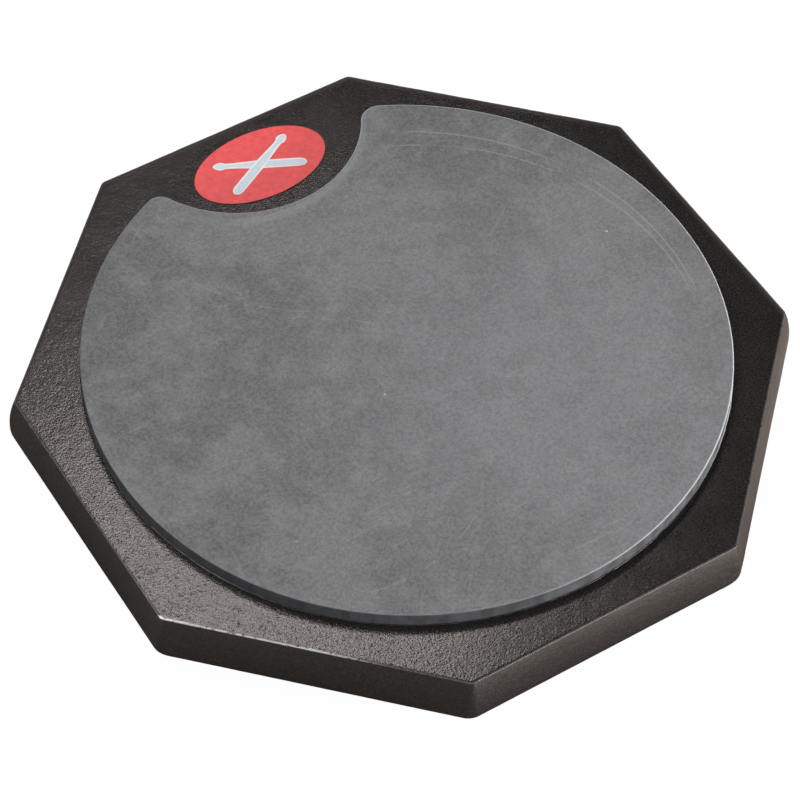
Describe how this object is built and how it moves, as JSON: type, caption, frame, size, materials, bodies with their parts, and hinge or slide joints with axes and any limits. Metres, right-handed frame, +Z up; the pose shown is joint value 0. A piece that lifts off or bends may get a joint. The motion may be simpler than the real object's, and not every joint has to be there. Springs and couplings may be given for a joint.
{
  "type": "drum practice pad",
  "caption": "Octagonal board with a notched round rubber playing surface, an oval label, a threaded stand insert underneath and rubber feet.",
  "frame": {"origin": "centre of the plane that the four feet rest on, under the middle of the octagonal board", "axes": "+Z up through the playing surface, +Y towards the edge with the oval label, +X to the right of it seen from above"},
  "size_m": [0.173, 0.173, 0.0239],
  "materials": {
    "board_paint": "fibreboard under pebbled black paint",
    "gum_rubber": "matt grey, slightly powdery",
    "contact_glue": "thin dried film, satin",
    "label_vinyl": "printed vinyl, satin",
    "zinc_steel": "zinc plated",
    "foot_rubber": "matt black"
  },
  "bodies": {
    "root": {"base_board": "board_paint", "pad_adhesive": "contact_glue", "playing_surface": "gum_rubber", "emblem_label": "label_vinyl", "stand_insert": "zinc_steel", "foot_washers": "zinc_steel", "foot_screws": "zinc_steel", "front_left_foot": "foot_rubber", "front_right_foot": "foot_rubber", "rear_left_foot": "foot_rubber", "rear_right_foot": "foot_rubber"}
  },
  "joints": []
}
